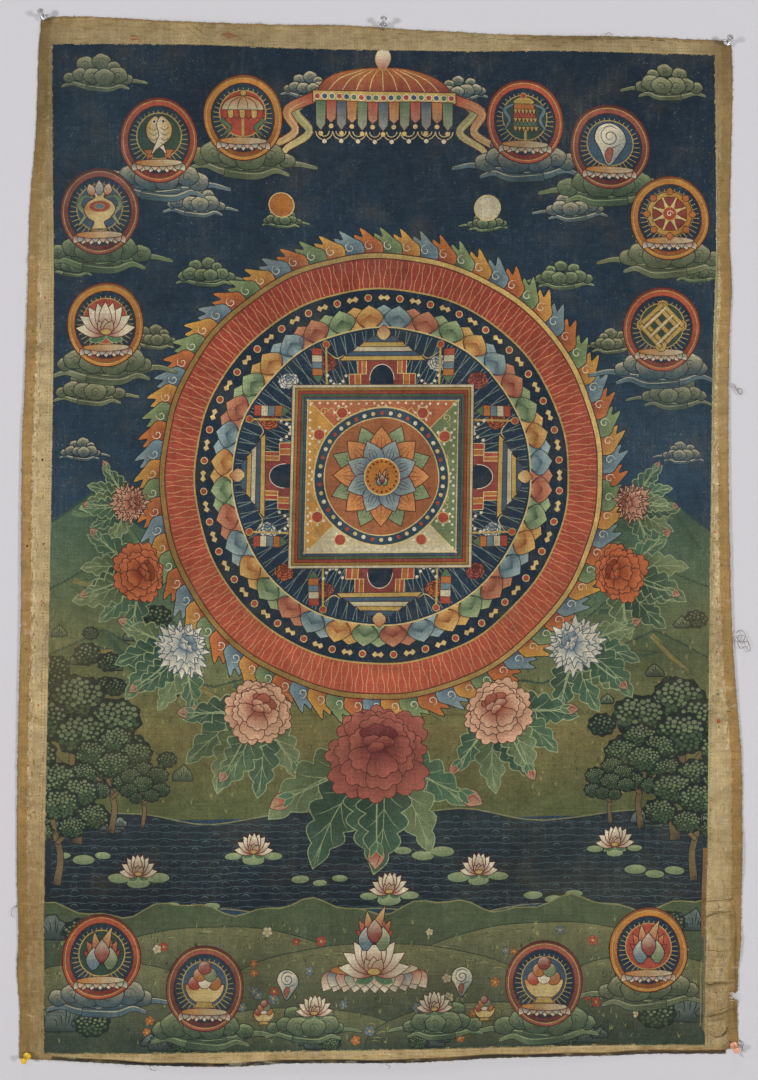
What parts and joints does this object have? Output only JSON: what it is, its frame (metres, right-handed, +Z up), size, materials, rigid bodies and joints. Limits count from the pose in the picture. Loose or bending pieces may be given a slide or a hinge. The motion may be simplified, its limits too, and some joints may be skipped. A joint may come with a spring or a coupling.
{
  "type": "unmounted scroll painting cloth with push pins",
  "caption": "Tall sheet of painted cotton with bare, uneven cut edges, an unmounted scroll painting, held flat on a wall by push pins at its corners and the middle of its top edge.",
  "frame": {"origin": "where the middle top pin's needle enters the face of the wall that the cloth hangs on", "axes": "+Z up the cloth, +Y into the wall, +X to the right as seen by a viewer who faces the painted side, which looks towards -Y"},
  "size_m": [0.797, 0.0236, 1.1563],
  "materials": {
    "painted_cotton": "matte distemper paint on primed cotton, bare ochre cotton at the edges",
    "clear_plastic": "clear moulded plastic, glossy",
    "yellow_plastic": "yellow moulded plastic, glossy",
    "salmon_plastic": "salmon moulded plastic, glossy",
    "steel": "bright drawn steel"
  },
  "bodies": {
    "root": {"painting_cloth": "painted_cotton", "pin_head_top_middle": "clear_plastic", "pin_head_top_left": "clear_plastic", "pin_head_top_right": "clear_plastic", "pin_head_bottom_left": "yellow_plastic", "pin_head_bottom_right": "salmon_plastic", "pin_needle_top_middle": "steel", "pin_needle_top_left": "steel", "pin_needle_top_right": "steel", "pin_needle_bottom_left": "steel", "pin_needle_bottom_right": "steel"}
  },
  "joints": []
}
